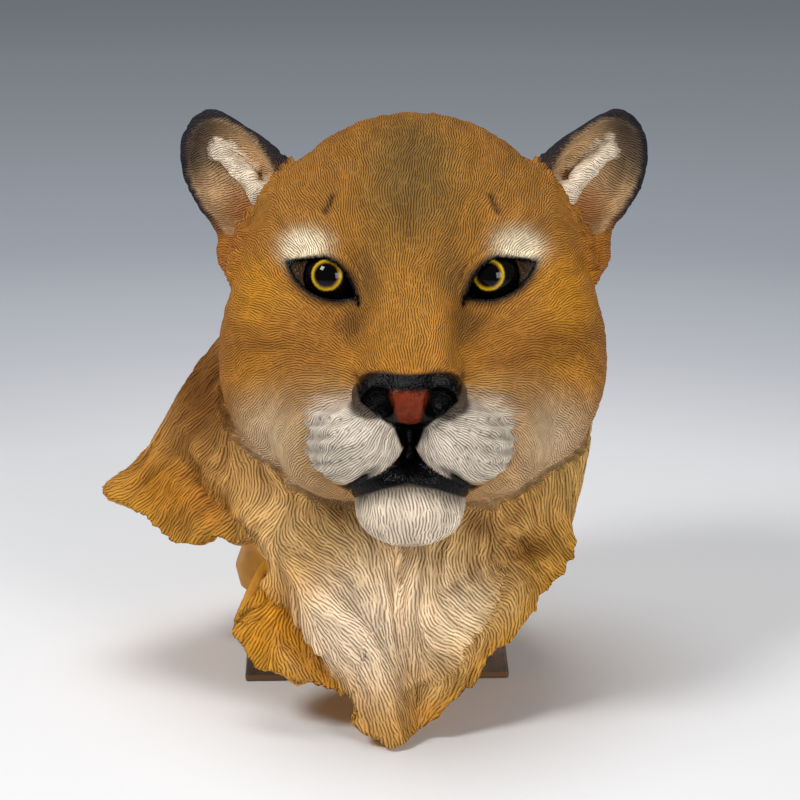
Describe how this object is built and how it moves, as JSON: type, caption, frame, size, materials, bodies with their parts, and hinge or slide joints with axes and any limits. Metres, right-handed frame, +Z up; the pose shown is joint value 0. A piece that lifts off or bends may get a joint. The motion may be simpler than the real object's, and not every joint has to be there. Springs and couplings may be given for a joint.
{
  "type": "animal head sculpture",
  "caption": "Life-size mountain lion head cast with a ragged fur-edged neck, standing on a low tapered plinth, with inset glass eyes.",
  "frame": {"origin": "centre of the plinth's underside, on the surface it stands on", "axes": "+Z up, the face looks along -Y and a little up, +X is the viewer's right"},
  "size_m": [0.2708, 0.2347, 0.278],
  "materials": {
    "painted_resin": "carved fur in painted cast resin, airbrushed tan, gold and cream, gloss black at nose and lips",
    "eye_glass": "domed glass eye, amber iris ring on black",
    "plinth_resin": "dark mottled brown, satin, worn brown foot"
  },
  "bodies": {
    "root": {"cougar_bust": "painted_resin", "eye_left": "eye_glass", "eye_right": "eye_glass", "plinth": "plinth_resin"}
  },
  "joints": []
}
